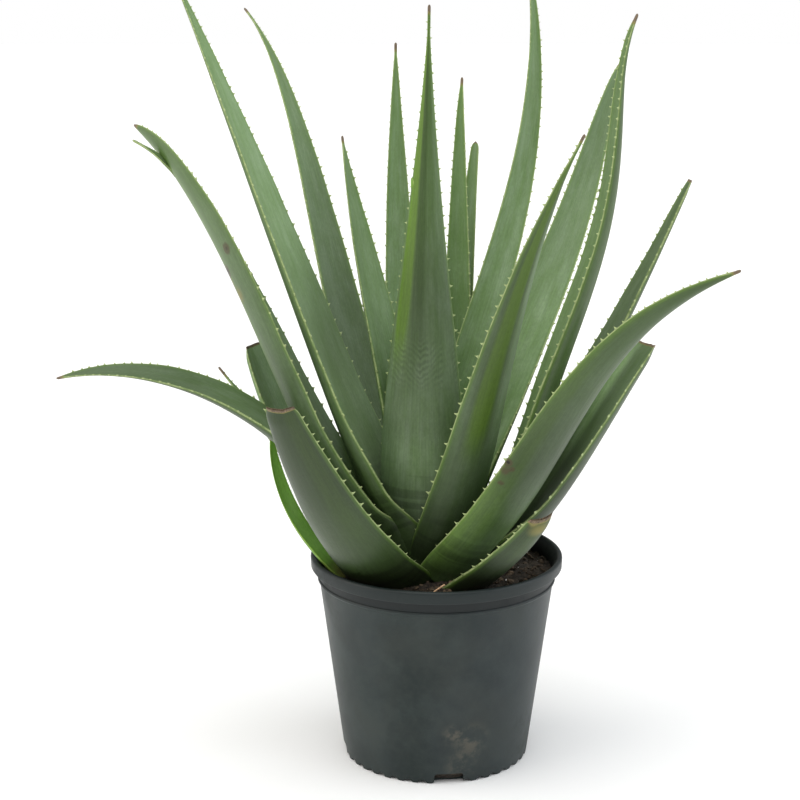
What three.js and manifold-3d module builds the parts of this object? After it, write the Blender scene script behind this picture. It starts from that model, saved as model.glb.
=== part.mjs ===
// A large potted aloe: a rosette of toothed fleshy leaves on a short stem,
// standing in the potting mix of a round grower's pot.
// Millimetres, +Z up, origin at the centre of the pot's underside, +Y away from the front.

import * as THREE from 'three';
import { mergeVertices } from 'three/addons/utils/BufferGeometryUtils.js';
import Module from 'manifold-3d';

const wasm = await Module();
wasm.setup();

// ---- driving dimensions -------------------------------------------------

const gap = 0.3;                 // clearance left where one piece is cut to fit another
const edgeGrowth = 3;            // a grown blade's thin margins and tip move out by this times as much

const pot = {
  height: 194,
  rimRadius: 117.5,              // outside of the rolled lip
  wallTopRadius: 111,            // outside of the wall just under the lip
  footRadius: 87,
  wall: 1.8,
  floor: 2.4,
  lipDrop: 12,                   // height of the rolled lip
  beadDrop: 21,                  // how far the bead lies under the rim
  beadHeight: 3.5,
  beadBulge: 1.6,
  sides: 48,
  scallop: 2.4,                  // every second corner of the foot is raised by this
  drains: 4,
  drainWidth: 27,
  drainHeight: 10,
  firstDrain: 277,               // degrees
  colour: 0x3d4746,
};

const soil = {
  level: 178,
  mound: 9,                      // rise of the mix round the stem
  lump: 2.6,
  clearance: 0.3,                // between the mix and the pot wall
  sides: 36,
  rings: 7,
  colour: 0x2e2620,
};

const stem = {
  x: -10,                        // the plant stands a little left of the pot's centre
  y: 0,
  radius: 21,
  topRadius: 12,
  bottom: 96,
  top: 232,
  sides: 16,
  colour: 0x8a8f62,
};

const blade = {
  taperStart: 1.6,               // how late the width begins to fall, and how fast it then does
  taperPower: 1.4,
  thickness: 15,                 // at the base of a full-sized leaf
  thicknessPower: 0.85,
  backShare: 0.68,               // part of the thickness on the rounded back
  cup: 30,                       // half angle of the channel in the middle of a leaf, degrees
  claspEnd: 0.3,                 // share of the length over which the base opens out
  maxClasp: 64,
  stations: 9,
  stationPower: 1.15,            // draws the stations a little towards the root
  backLine: 0.55,                // where the lines beside the middle run, on the back and on the face
  faceLine: 0.5,
  thinnest: 0.8,                 // least width, next to the tip
  toothEvery: 26,
  toothBase: 6,
  toothHeight: 2.4,
  toothLean: 0.68,               // how far along its base a tooth has its point
  tipTooth: 0.45,                // size of the last teeth beside the first
  bareBase: 0.1,                 // no teeth on this first share of the length
  bareTip: 0.975,
  colour: 0x6f8a62,
};

// Each leaf: heading round the stem (0 to the right, 270 to the front), where its root lies on the
// stem (out from the axis, up from the mix), its length, its pitch above level at root, middle and tip,
// how far its heading swings, the roll of its face about its own line, its width, and for a leaf
// that was cut back the share of its full length that is left. A fork is a second point at a split tip.
const leaves = [
  {
    name: 'leaf_front_centre', heading: 256, out: 17, up: 28,
    length: 490, pitch: [85, 102, 98], swing: 8, width: 110, taper: 1.07, power: 1.31,
  },
  {
    name: 'leaf_front_right', heading: 302, out: 27, up: 9,
    length: 455, pitch: [65, 76, 51], width: 70, taper: 1.4, power: 1.2,
  },
  {
    name: 'leaf_right_tall', heading: 36, out: 22, up: 22,
    length: 534, pitch: [54, 89, 4, 97, 31], swing: 31, roll: 41,
    width: 57, taper: 1.5, power: 0.7, cup: 26,
  },
  {
    name: 'leaf_right_narrow', heading: 351, out: 30, up: 12,
    length: 529, pitch: [28, 143, -17, 145, 66], swing: -1, roll: 22,
    width: 60, taper: 2.4, power: 0.8, cup: 53,
  },
  {
    name: 'leaf_right_sweeping', heading: 313, out: 43, up: 1,
    length: 428, pitch: [54, 43, 85, 33, 24], swing: 10, roll: -37, width: 85, taper: 1, power: 0.8,
  },
  {
    name: 'leaf_right_cut', heading: 10, out: 25, up: 10,
    length: 483, pitch: [42, 70, 63], swing: 3, roll: 4, width: 66, taper: 1.8, cut: 0.86,
  },
  {
    name: 'leaf_right_low_cut', heading: 350, out: 44, up: -6,
    length: 417, pitch: [38, 86, 33], swing: 12, roll: 23, width: 97, taper: 2.4, cut: 0.66,
  },
  {
    name: 'leaf_front_stub', heading: 305, out: 48, up: -15,
    length: 278, pitch: [36, 34, 76], swing: -9, roll: -6, width: 50, cut: 0.6,
  },
  {
    name: 'leaf_left_cut', heading: 240, bearing: 225, out: 57, up: -10,
    length: 446, pitch: [44, 54, 69], swing: 5, roll: 14, width: 106, taper: 1, cut: 0.6,
  },
  {
    name: 'leaf_left_arching', heading: 191, out: 43, up: -2,
    length: 379, pitch: [67, 46, -14], swing: -8, roll: -20, width: 71, taper: 1.8, power: 0.8,
  },
  {
    name: 'leaf_left_forked', heading: 178, out: 28, up: 11,
    length: 497, pitch: [46, 89, 24], swing: -48, roll: 58, width: 103, taper: 3.2, power: 0.8, cup: 42,
    fork: { from: 0.84, heading: 155, length: 58, pitch: [50, 28, 22], roll: -8, width: 14, thickness: 4 },
  },
  {
    name: 'leaf_left_long', heading: 172, out: 25, up: 15,
    length: 571, pitch: [68, 71, 67], swing: -6, roll: -8, width: 111, taper: 1.4, power: 1,
  },
  {
    name: 'leaf_left_inner', heading: 122, out: 20, up: 24,
    length: 599, pitch: [49, 61, 84, 27], swing: -1, roll: -3, width: 54, taper: 1.7, power: 1.2,
  },
  {
    name: 'leaf_back_left', heading: 143, out: 17, up: 28,
    length: 379, pitch: [87, 65, 80], swing: -5, roll: -7, width: 53, taper: 2.2, power: 1,
  },
  {
    name: 'leaf_back_centre', heading: 99, out: 26, up: 20,
    length: 493, pitch: [48, 79, 91], swing: 2, roll: -2, width: 45, taper: 1.8, power: 0.9,
  },
  {
    name: 'leaf_back_right', heading: 66, out: 15, up: 32,
    length: 430, pitch: [54, 105, 84], width: 46, taper: 1, power: 0.7,
  },
  {
    name: 'leaf_back_blunt', heading: 66, out: 29, up: 14,
    length: 438, pitch: [67, 90, 72], width: 37, taper: 1.3, power: 0.85, cut: 0.88,
  },
  {
    name: 'leaf_inner_right', heading: 42, out: 15, up: 31,
    length: 537, pitch: [88, 47, 73, 103], swing: 2, roll: 91, width: 45, taper: 1.1, power: 0.6, cup: 42,
  },
  {
    name: 'leaf_left_short_cut', heading: 160, out: 32, up: 6,
    length: 400, pitch: [30, 74, 89], swing: -4, roll: -7, width: 68, taper: 2.1, cut: 0.62,
  },
  {
    name: 'leaf_left_small', heading: 152, out: 46, up: -4,
    length: 253, pitch: [39, 47, 44], swing: -2, roll: -7, width: 45, taper: 2.0,
  },
  {
    name: 'leaf_heart', heading: 190, bearing: 135, out: 11, up: 36,
    length: 349, pitch: [90, 89, 88], width: 30, power: 0.6, cut: 0.94,
  },
  {
    name: 'leaf_rear_arching', heading: 97, out: 33, up: 6,
    length: 390, pitch: [40, 52, 0], width: 72,
  },
  {
    name: 'leaf_rear_right_cut', heading: 74, out: 38, up: 2,
    length: 350, pitch: [26, 60, 56], width: 74, cut: 0.58,
  },
  {
    name: 'leaf_rear_left', heading: 118, out: 38, up: 2,
    length: 320, pitch: [34, 60, 42], width: 62,
  },
  {
    name: 'leaf_rear_low', heading: 38, out: 46, up: -6,
    length: 236, pitch: [22, 48, 44], width: 64, cut: 0.7,
  },
  {
    name: 'pup_leaf', heading: 168, bearing: 199, out: 77, up: -2,
    length: 154, pitch: [37, 51, 71, 88], swing: -4, roll: -30,
    width: 24, taper: 2, power: 0.6, cup: 28, thickness: 6,
  },
];

// ---- leaves ------------------------------------------------------------------

const radians = THREE.MathUtils.degToRad;

// A value that runs smoothly from the first to the last of a few, as t goes from 0 to 1.
function bend(values, t) {
  let row = values;
  while (row.length > 1) {
    row = row.slice(1).map((value, i) => THREE.MathUtils.lerp(row[i], value, t));
  }
  return row[0];
}

// Where a leaf leaves the stem.
function rootOf(leaf) {
  const bearing = radians(leaf.bearing ?? leaf.heading);
  return new THREE.Vector3(
    stem.x + leaf.out * Math.cos(bearing),
    stem.y + leaf.out * Math.sin(bearing),
    soil.level + leaf.up,
  );
}

// The line that a leaf's back follows, and the way its face looks, at fine even steps.
function spine(leaf, grow = 0) {
  const steps = 120;
  const reach = leaf.cut ?? 1;
  const start = radians(leaf.heading);
  const at = leaf.root ? leaf.root.clone() : rootOf(leaf);
  const frames = [];
  for (let i = 0; i <= steps; i += 1) {
    const t = (i / steps) * reach;
    const pitch = radians(bend(leaf.pitch, t));
    const heading = start + radians(leaf.swing ?? 0) * t;
    const flat = Math.cos(pitch);
    const along = new THREE.Vector3(flat * Math.cos(heading), flat * Math.sin(heading), Math.sin(pitch));
    const side = new THREE.Vector3(-Math.sin(heading), Math.cos(heading), 0);
    side.applyAxisAngle(along, radians(leaf.roll ?? 0) * t);
    const face = new THREE.Vector3().crossVectors(along, side);
    frames.push({ t, at: at.clone(), along, side, face });
    at.addScaledVector(along, (leaf.length * reach) / steps);
  }
  const [root] = frames;
  const end = frames[steps];
  root.at.addScaledVector(root.along, -grow);
  end.at.addScaledVector(end.along, leaf.cut ? grow : grow * edgeGrowth);
  return frames;
}

function frameAt(frames, u) {
  const place = u * (frames.length - 1);
  const i = Math.min(Math.floor(place), frames.length - 2);
  const k = place - i;
  const [before, after] = [frames[i], frames[i + 1]];
  const mix = (key) => before[key].clone().lerp(after[key], k);
  return {
    t: THREE.MathUtils.lerp(before.t, after.t, k),
    at: mix('at'),
    side: mix('side').normalize(),
    face: mix('face').normalize(),
  };
}

function widthAt(leaf, t) {
  const fall = 1 - t ** (leaf.taper ?? blade.taperStart);
  return leaf.width * fall ** (leaf.power ?? blade.taperPower);
}

function thicknessAt(leaf, t) {
  const full = leaf.thickness ?? blade.thickness * Math.min(1, leaf.width / 60);
  return full * (1 - t) ** blade.thicknessPower;
}

// Half angle of the channel: the base clasps the stem, and the blade opens out above it.
function cupAt(leaf, t) {
  const clasp = Math.min(radians(leaf.clasp ?? blade.maxClasp), leaf.width / 2 / leaf.out);
  const open = radians(leaf.cup ?? blade.cup);
  const k = THREE.MathUtils.smoothstep(t, 0, blade.claspEnd);
  return THREE.MathUtils.lerp(clasp, open, k);
}

// A point of the leaf: s runs from margin to margin, and side is -1 on the back, 1 on the face, 0 between.
function leafPoint(leaf, frame, s, side, grow, push = 0) {
  const cup = cupAt(leaf, frame.t);
  const width = Math.max(widthAt(leaf, frame.t), blade.thinnest);
  const radius = width / 2 / cup;
  const angle = s * cup;
  const share = side < 0 ? blade.backShare : 1 - blade.backShare;
  const body = thicknessAt(leaf, frame.t) * share * Math.sqrt(Math.max(0, 1 - s * s));
  const lift = side === 0 ? 0 : side * (body + grow);
  const point = frame.at.clone();
  point.addScaledVector(frame.side, radius * Math.sin(angle) - lift * Math.sin(angle));
  point.addScaledVector(frame.face, radius * (1 - Math.cos(angle)) + lift * Math.cos(angle));
  if (side === 0) {
    const out = Math.sign(s) * (push + grow * edgeGrowth);
    point.addScaledVector(frame.side, out * Math.cos(angle));
    point.addScaledVector(frame.face, out * Math.sin(angle));
  }
  return point;
}

// Where along the leaf its margin has a point, and how far each is pushed out as part of a tooth.
function marginStops(leaf, stations) {
  const reach = leaf.cut ?? 1;
  const span = leaf.length * reach;
  const count = Math.round(span / blade.toothEvery);
  const stops = stations.map((u) => ({ u, push: 0 }));
  for (let i = 0; i < count; i += 1) {
    const middle = (i + 0.5) / count;
    const t = middle * reach;
    const size = THREE.MathUtils.lerp(1, blade.tipTooth, t);
    const half = (blade.toothBase * size) / 2 / span;
    if (t > blade.bareBase && t < blade.bareTip && middle + half < 1) {
      stops.push({ u: middle - half, push: 0 });
      stops.push({ u: middle - half + 2 * half * blade.toothLean, push: blade.toothHeight * size });
      stops.push({ u: middle + half, push: 0 });
    }
  }
  return stops.sort((a, b) => a.u - b.u);
}

// Fills the band between two lines of vertices that both run from root to tip.
function zip(index, left, right) {
  let i = 0;
  let j = 0;
  while (i < left.length - 1 || j < right.length - 1) {
    const nextLeft = i < left.length - 1 ? left[i + 1].u : Infinity;
    const nextRight = j < right.length - 1 ? right[j + 1].u : Infinity;
    if (nextLeft <= nextRight) {
      index.push(left[i].id, right[j].id, left[i + 1].id);
      i += 1;
    } else {
      index.push(left[i].id, right[j].id, right[j + 1].id);
      j += 1;
    }
  }
}

// One leaf as a closed solid: lines of points run from root to tip round a crescent section,
// and the two margin lines carry the teeth.
function leafGeometry(leaf, grow = 0) {
  const frames = spine(leaf, grow);
  const pointed = leaf.cut === undefined;
  const stations = [];
  const last = pointed ? blade.stations - 1 : blade.stations;
  for (let i = 0; i <= last; i += 1) {
    stations.push((i / blade.stations) ** blade.stationPower);
  }
  const bodyStops = stations.map((u) => ({ u, push: 0 }));
  const marginLine = marginStops(leaf, stations);
  const lines = [
    { s: -1, side: 0, stops: marginLine },
    { s: -blade.backLine, side: -1, stops: bodyStops },
    { s: 0, side: -1, stops: bodyStops },
    { s: blade.backLine, side: -1, stops: bodyStops },
    { s: 1, side: 0, stops: marginLine },
    { s: blade.faceLine, side: 1, stops: bodyStops },
    { s: 0, side: 1, stops: bodyStops },
    { s: -blade.faceLine, side: 1, stops: bodyStops },
  ];
  const positions = [];
  const addPoint = (point) => {
    positions.push(point.x, point.y, point.z);
    return positions.length / 3 - 1;
  };
  const rows = lines.map(({ s, side, stops }) => stops.map(({ u, push }) => ({
    u,
    id: addPoint(leafPoint(leaf, frameAt(frames, u), s, side, grow, push)),
  })));
  if (pointed) {
    const tip = addPoint(frames[frames.length - 1].at);
    rows.forEach((row) => row.push({ u: 1, id: tip }));
  }
  const index = [];
  rows.forEach((row, i) => zip(index, row, rows[(i + 1) % rows.length]));
  capSection(index, rows.map((row) => row[0].id), false);
  if (!pointed) {
    capSection(index, rows.map((row) => row[row.length - 1].id), true);
  }
  return closedGeometry(positions, index);
}

// Closes a crescent section, ladder-wise between its back and its face.
function capSection(index, ring, outwards) {
  const [m0, b1, b2, b3, m1, f3, f2, f1] = ring;
  const faces = [[m0, b1, f1], [b1, b2, f2], [b1, f2, f1], [b2, b3, f3], [b2, f3, f2], [b3, m1, f3]];
  faces.forEach(([a, b, c]) => (outwards ? index.push(a, b, c) : index.push(a, c, b)));
}

function closedGeometry(positions, index) {
  const geometry = new THREE.BufferGeometry();
  geometry.setAttribute('position', new THREE.Float32BufferAttribute(positions, 3));
  geometry.setIndex(index);
  return geometry;
}

// ---- joining and cutting ------------------------------------------------------

function toSolid(geometry) {
  const bare = geometry.clone();
  bare.deleteAttribute('normal');
  bare.deleteAttribute('uv');
  const merged = mergeVertices(bare, 1e-4);
  return new wasm.Manifold(new wasm.Mesh({
    numProp: 3,
    vertProperties: new Float32Array(merged.attributes.position.array),
    triVerts: new Uint32Array(merged.index.array),
  }));
}

function fromSolid(solid) {
  const mesh = solid.getMesh();
  return closedGeometry(Array.from(mesh.vertProperties), Array.from(mesh.triVerts));
}

// The largest of the bodies that a cut leaves.
function mainBody(solid) {
  return solid.decompose().reduce((best, body) => (body.volume() > best.volume() ? body : best));
}

// ---- pot, mix and stem ---------------------------------------------------------

const wallSlope = (pot.wallTopRadius - pot.footRadius) / (pot.height - pot.lipDrop);
const outsideAt = (z) => pot.footRadius + wallSlope * z;
const insideAt = (z) => outsideAt(z) - pot.wall;

function potGeometry() {
  const { height, rimRadius, lipDrop, beadDrop, beadHeight, beadBulge, floor, wall } = pot;
  const lipFoot = height - lipDrop;
  const beadTop = height - beadDrop;
  const beadFoot = beadTop - beadHeight;
  const profile = [
    [0, 0],
    [pot.footRadius - 8, 0],
    [pot.footRadius, 0],
    [outsideAt(9), 9],
    [outsideAt(beadFoot), beadFoot],
    [outsideAt(beadFoot) + beadBulge, beadFoot + beadHeight * 0.35],
    [outsideAt(beadTop) + beadBulge * 0.6, beadTop],
    [outsideAt(lipFoot - 2), lipFoot - 2],
    [rimRadius - 1.5, lipFoot],
    [rimRadius, lipFoot + 2.5],
    [rimRadius, height - 4],
    [rimRadius - 1.2, height - 1],
    [rimRadius - 3.2, height],
    [rimRadius - 5.4, height - 1.2],
    [insideAt(lipFoot) + 0.6, height - 4.5],
    [insideAt(lipFoot - wall), lipFoot - wall],
    [insideAt(floor + 5), floor + 5],
    [insideAt(floor) - 4, floor],
    [0, floor],
  ];
  const points = profile.map(([x, y]) => new THREE.Vector2(x, y));
  const geometry = new THREE.LatheGeometry(points, pot.sides);
  geometry.rotateX(Math.PI / 2);
  return geometry;
}

// Raises every second corner of the foot's edge, so that the pot stands on a ring of small feet.
function scallopFoot(geometry) {
  const { position } = geometry.attributes;
  const step = (2 * Math.PI) / pot.sides;
  for (let i = 0; i < position.count; i += 1) {
    const radius = Math.hypot(position.getX(i), position.getY(i));
    const corner = Math.round(Math.atan2(position.getY(i), position.getX(i)) / step);
    if (position.getZ(i) < 0.01 && Math.abs(radius - pot.footRadius) < 0.01 && Math.abs(corner % 2) === 1) {
      position.setZ(i, pot.scallop);
    }
  }
}

function drainCutter(heading) {
  const depth = 22;
  const half = pot.drainWidth / 2;
  const top = pot.drainHeight;
  const shape = new THREE.Shape();
  shape.moveTo(-half, -1);
  shape.lineTo(half, -1);
  shape.lineTo(half - 2, top - 2.5);
  shape.lineTo(half - 6, top);
  shape.lineTo(6 - half, top);
  shape.lineTo(2 - half, top - 2.5);
  const cutter = new THREE.ExtrudeGeometry(shape, { depth, bevelEnabled: false });
  cutter.rotateX(Math.PI / 2);
  cutter.translate(0, pot.footRadius + depth - 9, 0);
  cutter.rotateZ(radians(heading - 90));
  return cutter;
}

function buildPot() {
  const geometry = potGeometry();
  scallopFoot(geometry);
  let solid = toSolid(geometry);
  for (let i = 0; i < pot.drains; i += 1) {
    solid = solid.subtract(toSolid(drainCutter(pot.firstDrain + (i * 360) / pot.drains)));
  }
  return solid;
}

// Height of the mix's surface: a low mound round the stem, broken by lumps.
function soilHeight(x, y) {
  const away = Math.hypot(x - stem.x, y - stem.y);
  const rise = soil.mound * Math.exp(-((away / 48) ** 2));
  const lumps = Math.sin(x * 0.31 + 1.3) * Math.cos(y * 0.27 - 0.4) + 0.8 * Math.sin(x * 0.13 - y * 0.38);
  return soil.level + rise + (soil.lump * lumps) / 1.8;
}

function soilGeometry() {
  const floor = pot.floor + soil.clearance;
  const wallAt = (z) => insideAt(z) - soil.clearance;
  const profile = [[0, floor], [wallAt(floor) - 5, floor], [wallAt(floor + 6), floor + 6]];
  for (let i = 0; i <= soil.rings; i += 1) {
    const share = 1 - i / (soil.rings + 1);
    profile.push([wallAt(soil.level) * share, soil.level]);
  }
  profile.push([0, soil.level]);
  const points = profile.map(([x, y]) => new THREE.Vector2(x, y));
  const geometry = new THREE.LatheGeometry(points, soil.sides);
  geometry.rotateX(Math.PI / 2);
  const { position } = geometry.attributes;
  const edge = wallAt(soil.level) - 1;
  for (let i = 0; i < position.count; i += 1) {
    const x = position.getX(i);
    const y = position.getY(i);
    if (position.getZ(i) > soil.level - 0.01 && Math.hypot(x, y) < edge) {
      position.setZ(i, soilHeight(x, y));
    }
  }
  return geometry;
}

function stemGeometry(grow = 0) {
  const { radius, topRadius, bottom, top } = stem;
  const profile = [
    [0, bottom - grow],
    [radius * 0.7 + grow, bottom - grow],
    [radius + grow, bottom + 14 - grow],
    [radius + grow, soil.level + 14],
    [topRadius + grow, top - 6 + grow],
    [0, top + grow],
  ];
  const points = profile.map(([x, y]) => new THREE.Vector2(x, y));
  const geometry = new THREE.LatheGeometry(points, stem.sides);
  geometry.rotateX(Math.PI / 2);
  geometry.translate(stem.x, stem.y, 0);
  return geometry;
}

// ---- assembly ---------------------------------------------------------------

function part(name, solid, colour, roughness) {
  const material = new THREE.MeshStandardMaterial({ color: colour, roughness, metalness: 0 });
  const mesh = new THREE.Mesh(fromSolid(solid), material);
  mesh.name = name;
  return mesh;
}

// A leaf as a solid, with its second point where the tip has split.
function leafSolid(leaf, grow = 0) {
  const solid = toSolid(leafGeometry(leaf, grow));
  if (!leaf.fork) {
    return solid;
  }
  const frame = frameAt(spine(leaf), leaf.fork.from);
  const prong = { ...leaf.fork, root: frame.at, clasp: blade.cup, out: leaf.out };
  return solid.add(toSolid(leafGeometry(prong, grow)));
}

// Every leaf is cut clear of the stem and of the leaves already placed, the inner ones first.
function buildLeaves() {
  const grownStem = toSolid(stemGeometry(gap));
  const placed = [];
  const inwardFirst = [...leaves].sort((a, b) => a.out - b.out);
  inwardFirst.forEach((leaf) => {
    let solid = leafSolid(leaf).subtract(grownStem);
    placed.forEach((other) => {
      solid = solid.subtract(other.grown);
    });
    placed.push({ leaf, solid: mainBody(solid), grown: leafSolid(leaf, gap) });
  });
  return placed;
}

const plant = new THREE.Group();
plant.add(part('pot', buildPot(), pot.colour, 0.6));
plant.add(part('stem', toSolid(stemGeometry()), stem.colour, 0.8));

const placedLeaves = buildLeaves();
let mix = toSolid(soilGeometry()).subtract(toSolid(stemGeometry(gap)));
placedLeaves.forEach(({ leaf, solid, grown }) => {
  plant.add(part(leaf.name, solid, blade.colour, 0.55));
  mix = mix.subtract(grown);
});
plant.add(part('soil', mainBody(mix), soil.colour, 0.95));

export default plant;
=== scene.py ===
import math
import random

import bmesh
import bpy
from mathutils import Matrix, Vector, noise


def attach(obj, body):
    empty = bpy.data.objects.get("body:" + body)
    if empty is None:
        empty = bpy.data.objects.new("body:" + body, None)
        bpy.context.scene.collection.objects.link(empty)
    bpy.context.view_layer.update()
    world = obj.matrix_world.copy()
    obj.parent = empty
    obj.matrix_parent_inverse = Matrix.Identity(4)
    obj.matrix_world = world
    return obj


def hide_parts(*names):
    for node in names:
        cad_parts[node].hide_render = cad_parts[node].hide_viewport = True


# A potted aloe. Sizes in the dictionaries are millimetres and degrees, and meshes are metres.

print("aloe: loading the frame")
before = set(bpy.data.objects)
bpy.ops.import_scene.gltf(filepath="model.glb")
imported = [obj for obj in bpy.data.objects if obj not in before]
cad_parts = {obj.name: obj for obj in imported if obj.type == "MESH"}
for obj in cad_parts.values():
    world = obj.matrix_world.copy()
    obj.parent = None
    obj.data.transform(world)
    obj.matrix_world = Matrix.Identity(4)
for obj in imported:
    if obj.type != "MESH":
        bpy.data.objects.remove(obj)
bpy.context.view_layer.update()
mm = 0.001


camera = {
    "place": (-34, -1540, 692),
    "lookDown": 12.9,
    "lens": 77.5,
    "sensor": 36.0,
    "clipEnd": 60.0,
}


def makeCamera(values):
    data = bpy.data.cameras.new("camera")
    data.lens = values["lens"]
    data.sensor_width = values["sensor"]
    data.clip_end = values["clipEnd"]
    cameraObject = bpy.data.objects.new("camera", data)
    cameraObject.location = [v * mm for v in values["place"]]
    cameraObject.rotation_euler = (math.radians(90 - values["lookDown"]), 0, 0)
    bpy.context.scene.collection.objects.link(cameraObject)
    bpy.context.scene.camera = cameraObject


makeCamera(camera)
print("aloe: camera placed")


def lerp(a, b, k):
    return a + (b - a) * k


def smooth(a, b, x):
    k = min(max((x - a) / (b - a), 0.0), 1.0)
    return k * k * (3 - 2 * k)


def bend(values, t):  # runs smoothly from the first to the last of a few values
    row = list(values)
    while len(row) > 1:
        row = [lerp(a, b, t) for a, b in zip(row, row[1:])]
    return row[0]


def finishPiece(name, bm, material, nodes=(), flat=False):
    mesh = bpy.data.meshes.new(name)
    for face in bm.faces:
        face.smooth = not flat
    bm.to_mesh(mesh)
    bm.free()
    mesh.materials.append(material)
    piece = bpy.data.objects.new(name, mesh)
    bpy.context.scene.collection.objects.link(piece)
    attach(piece, "root")
    if nodes:
        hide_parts(*nodes)
    return piece


def spinProfile(bm, points, steps):  # points are (radius, height) in millimetres
    rings = [bm.verts.new((radius * mm, 0, height * mm)) for radius, height in points]
    edges = [bm.edges.new(pair) for pair in zip(rings, rings[1:])]
    bmesh.ops.spin(
        bm,
        geom=rings + edges,
        cent=(0, 0, 0),
        axis=(0, 0, 1),
        angle=2 * math.pi,
        steps=steps,
        use_merge=True,
        use_duplicate=False,
    )
    bmesh.ops.remove_doubles(bm, verts=bm.verts, dist=1e-6)
    bmesh.ops.recalc_face_normals(bm, faces=bm.faces)


def arc(centre, radius, start, end, count):
    angles = [math.radians(lerp(start, end, i / count)) for i in range(count + 1)]
    return [(centre[0] + radius * math.cos(a), centre[1] + radius * math.sin(a)) for a in angles]


def addNode(tree, kind, **settings):
    made = tree.nodes.new(kind)
    for key, value in settings.items():
        if key.startswith("in_"):
            made.inputs[int(key[3:])].default_value = value
        else:
            setattr(made, key, value)
    return made


def link(tree, source, target):
    tree.links.new(source, target)


def mathNode(tree, operation, first, second=None, clamp=False):
    made = addNode(tree, "ShaderNodeMath", operation=operation, use_clamp=clamp)
    for socket, value in zip(made.inputs, (first, second)):
        if value is None:
            continue
        if isinstance(value, (int, float)):
            socket.default_value = value
        else:
            link(tree, value, socket)
    return made.outputs[0]


def times(tree, first, second, clamp=False):
    return mathNode(tree, "MULTIPLY", first, second, clamp)


def plus(tree, first, second, clamp=False):
    return mathNode(tree, "ADD", first, second, clamp)


def minus(tree, first, second):
    return mathNode(tree, "SUBTRACT", first, second)


def rangeNode(tree, value, low, high, outLow=0.0, outHigh=1.0):
    made = addNode(tree, "ShaderNodeMapRange", interpolation_type="SMOOTHSTEP")
    link(tree, value, made.inputs[0])
    for socket, number in zip(made.inputs[1:5], (low, high, outLow, outHigh)):
        socket.default_value = number
    return made.outputs[0]


def mixColour(tree, factor, first, second, blend="MIX"):
    made = addNode(tree, "ShaderNodeMix", data_type="RGBA", blend_type=blend)
    sockets = (made.inputs[0], made.inputs[6], made.inputs[7])
    for socket, value in zip(sockets, (factor, first, second)):
        if isinstance(value, bpy.types.NodeSocket):
            link(tree, value, socket)
        elif isinstance(value, (int, float)):
            socket.default_value = value
        else:
            socket.default_value = (*value, 1.0)
    return made.outputs[2]


def noiseNode(tree, vector, scale, detail=3.0, rough=0.55, stretch=(1, 1, 1)):
    mapping = addNode(tree, "ShaderNodeMapping")
    mapping.inputs["Scale"].default_value = stretch
    link(tree, vector, mapping.inputs["Vector"])
    made = addNode(tree, "ShaderNodeTexNoise")
    made.inputs["Scale"].default_value = scale
    made.inputs["Detail"].default_value = detail
    made.inputs["Roughness"].default_value = rough
    link(tree, mapping.outputs[0], made.inputs["Vector"])
    return made.outputs["Fac"]


def attribute(tree, name):
    return addNode(tree, "ShaderNodeAttribute", attribute_name=name)


def newMaterial(name, roughness=0.6, specular=0.5, bump=0.3, depth=0.001):
    material = bpy.data.materials.new(name)
    material.use_nodes = True
    tree = material.node_tree
    shader = tree.nodes["Principled BSDF"]
    shader.inputs["Roughness"].default_value = roughness
    shader.inputs["Specular IOR Level"].default_value = specular
    bumpNode = addNode(tree, "ShaderNodeBump")
    bumpNode.inputs["Strength"].default_value = bump
    bumpNode.inputs["Distance"].default_value = depth
    link(tree, bumpNode.outputs["Normal"], shader.inputs["Normal"])
    return material, tree, shader, bumpNode


def newGroup(name, inputs, outputs):
    tree = bpy.data.node_groups.new(name, "ShaderNodeTree")
    for socketName, kind, value in inputs:
        socket = tree.interface.new_socket(name=socketName, in_out="INPUT", socket_type=kind)
        if value is not None:
            socket.default_value = value
    for socketName, kind in outputs:
        tree.interface.new_socket(name=socketName, in_out="OUTPUT", socket_type=kind)
    return tree, tree.nodes.new("NodeGroupInput"), tree.nodes.new("NodeGroupOutput")


def placeGroup(tree, group, **values):
    made = addNode(tree, "ShaderNodeGroup", node_tree=group)
    for key, value in values.items():
        socket = made.inputs[key.replace("_", " ")]
        if isinstance(value, bpy.types.NodeSocket):
            link(tree, value, socket)
        elif isinstance(value, tuple) and len(value) == 3 and socket.type == "RGBA":
            socket.default_value = (*value, 1.0)
        else:
            socket.default_value = value
    return made


dust = {  # the noises are scale, detail and roughness
    "broadNoise": (14, 4, 0.6),
    "broadRange": (0.42, 0.72),
    "fineNoise": (160, 5, 0.65),
    "fineRange": (0.4, 0.75),
    "fineShare": 0.35,
    "strength": 0.8,
}


def makeDustGroup():  # dusty blotches over any colour, on object coordinates
    tree, source, target = newGroup(
        "dustBlotches",
        [
            ("Colour", "NodeSocketColor", (0.1, 0.1, 0.1, 1)),
            ("Dust Colour", "NodeSocketColor", (0.3, 0.28, 0.25, 1)),
            ("Amount", "NodeSocketFloat", 0.4),
            ("Vector", "NodeSocketVector", None),
        ],
        [("Colour", "NodeSocketColor"), ("Mask", "NodeSocketFloat")],
    )
    vector = source.outputs["Vector"]
    broad = rangeNode(tree, noiseNode(tree, vector, *dust["broadNoise"]), *dust["broadRange"])
    fine = rangeNode(tree, noiseNode(tree, vector, *dust["fineNoise"]), *dust["fineRange"])
    both = times(tree, plus(tree, broad, times(tree, fine, dust["fineShare"])), dust["strength"])
    mask = times(tree, both, source.outputs["Amount"], clamp=True)
    colour = mixColour(tree, mask, source.outputs["Colour"], source.outputs["Dust Colour"])
    link(tree, colour, target.inputs[0])
    link(tree, mask, target.inputs[1])
    return tree


fineGrainShare = 0.4


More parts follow.
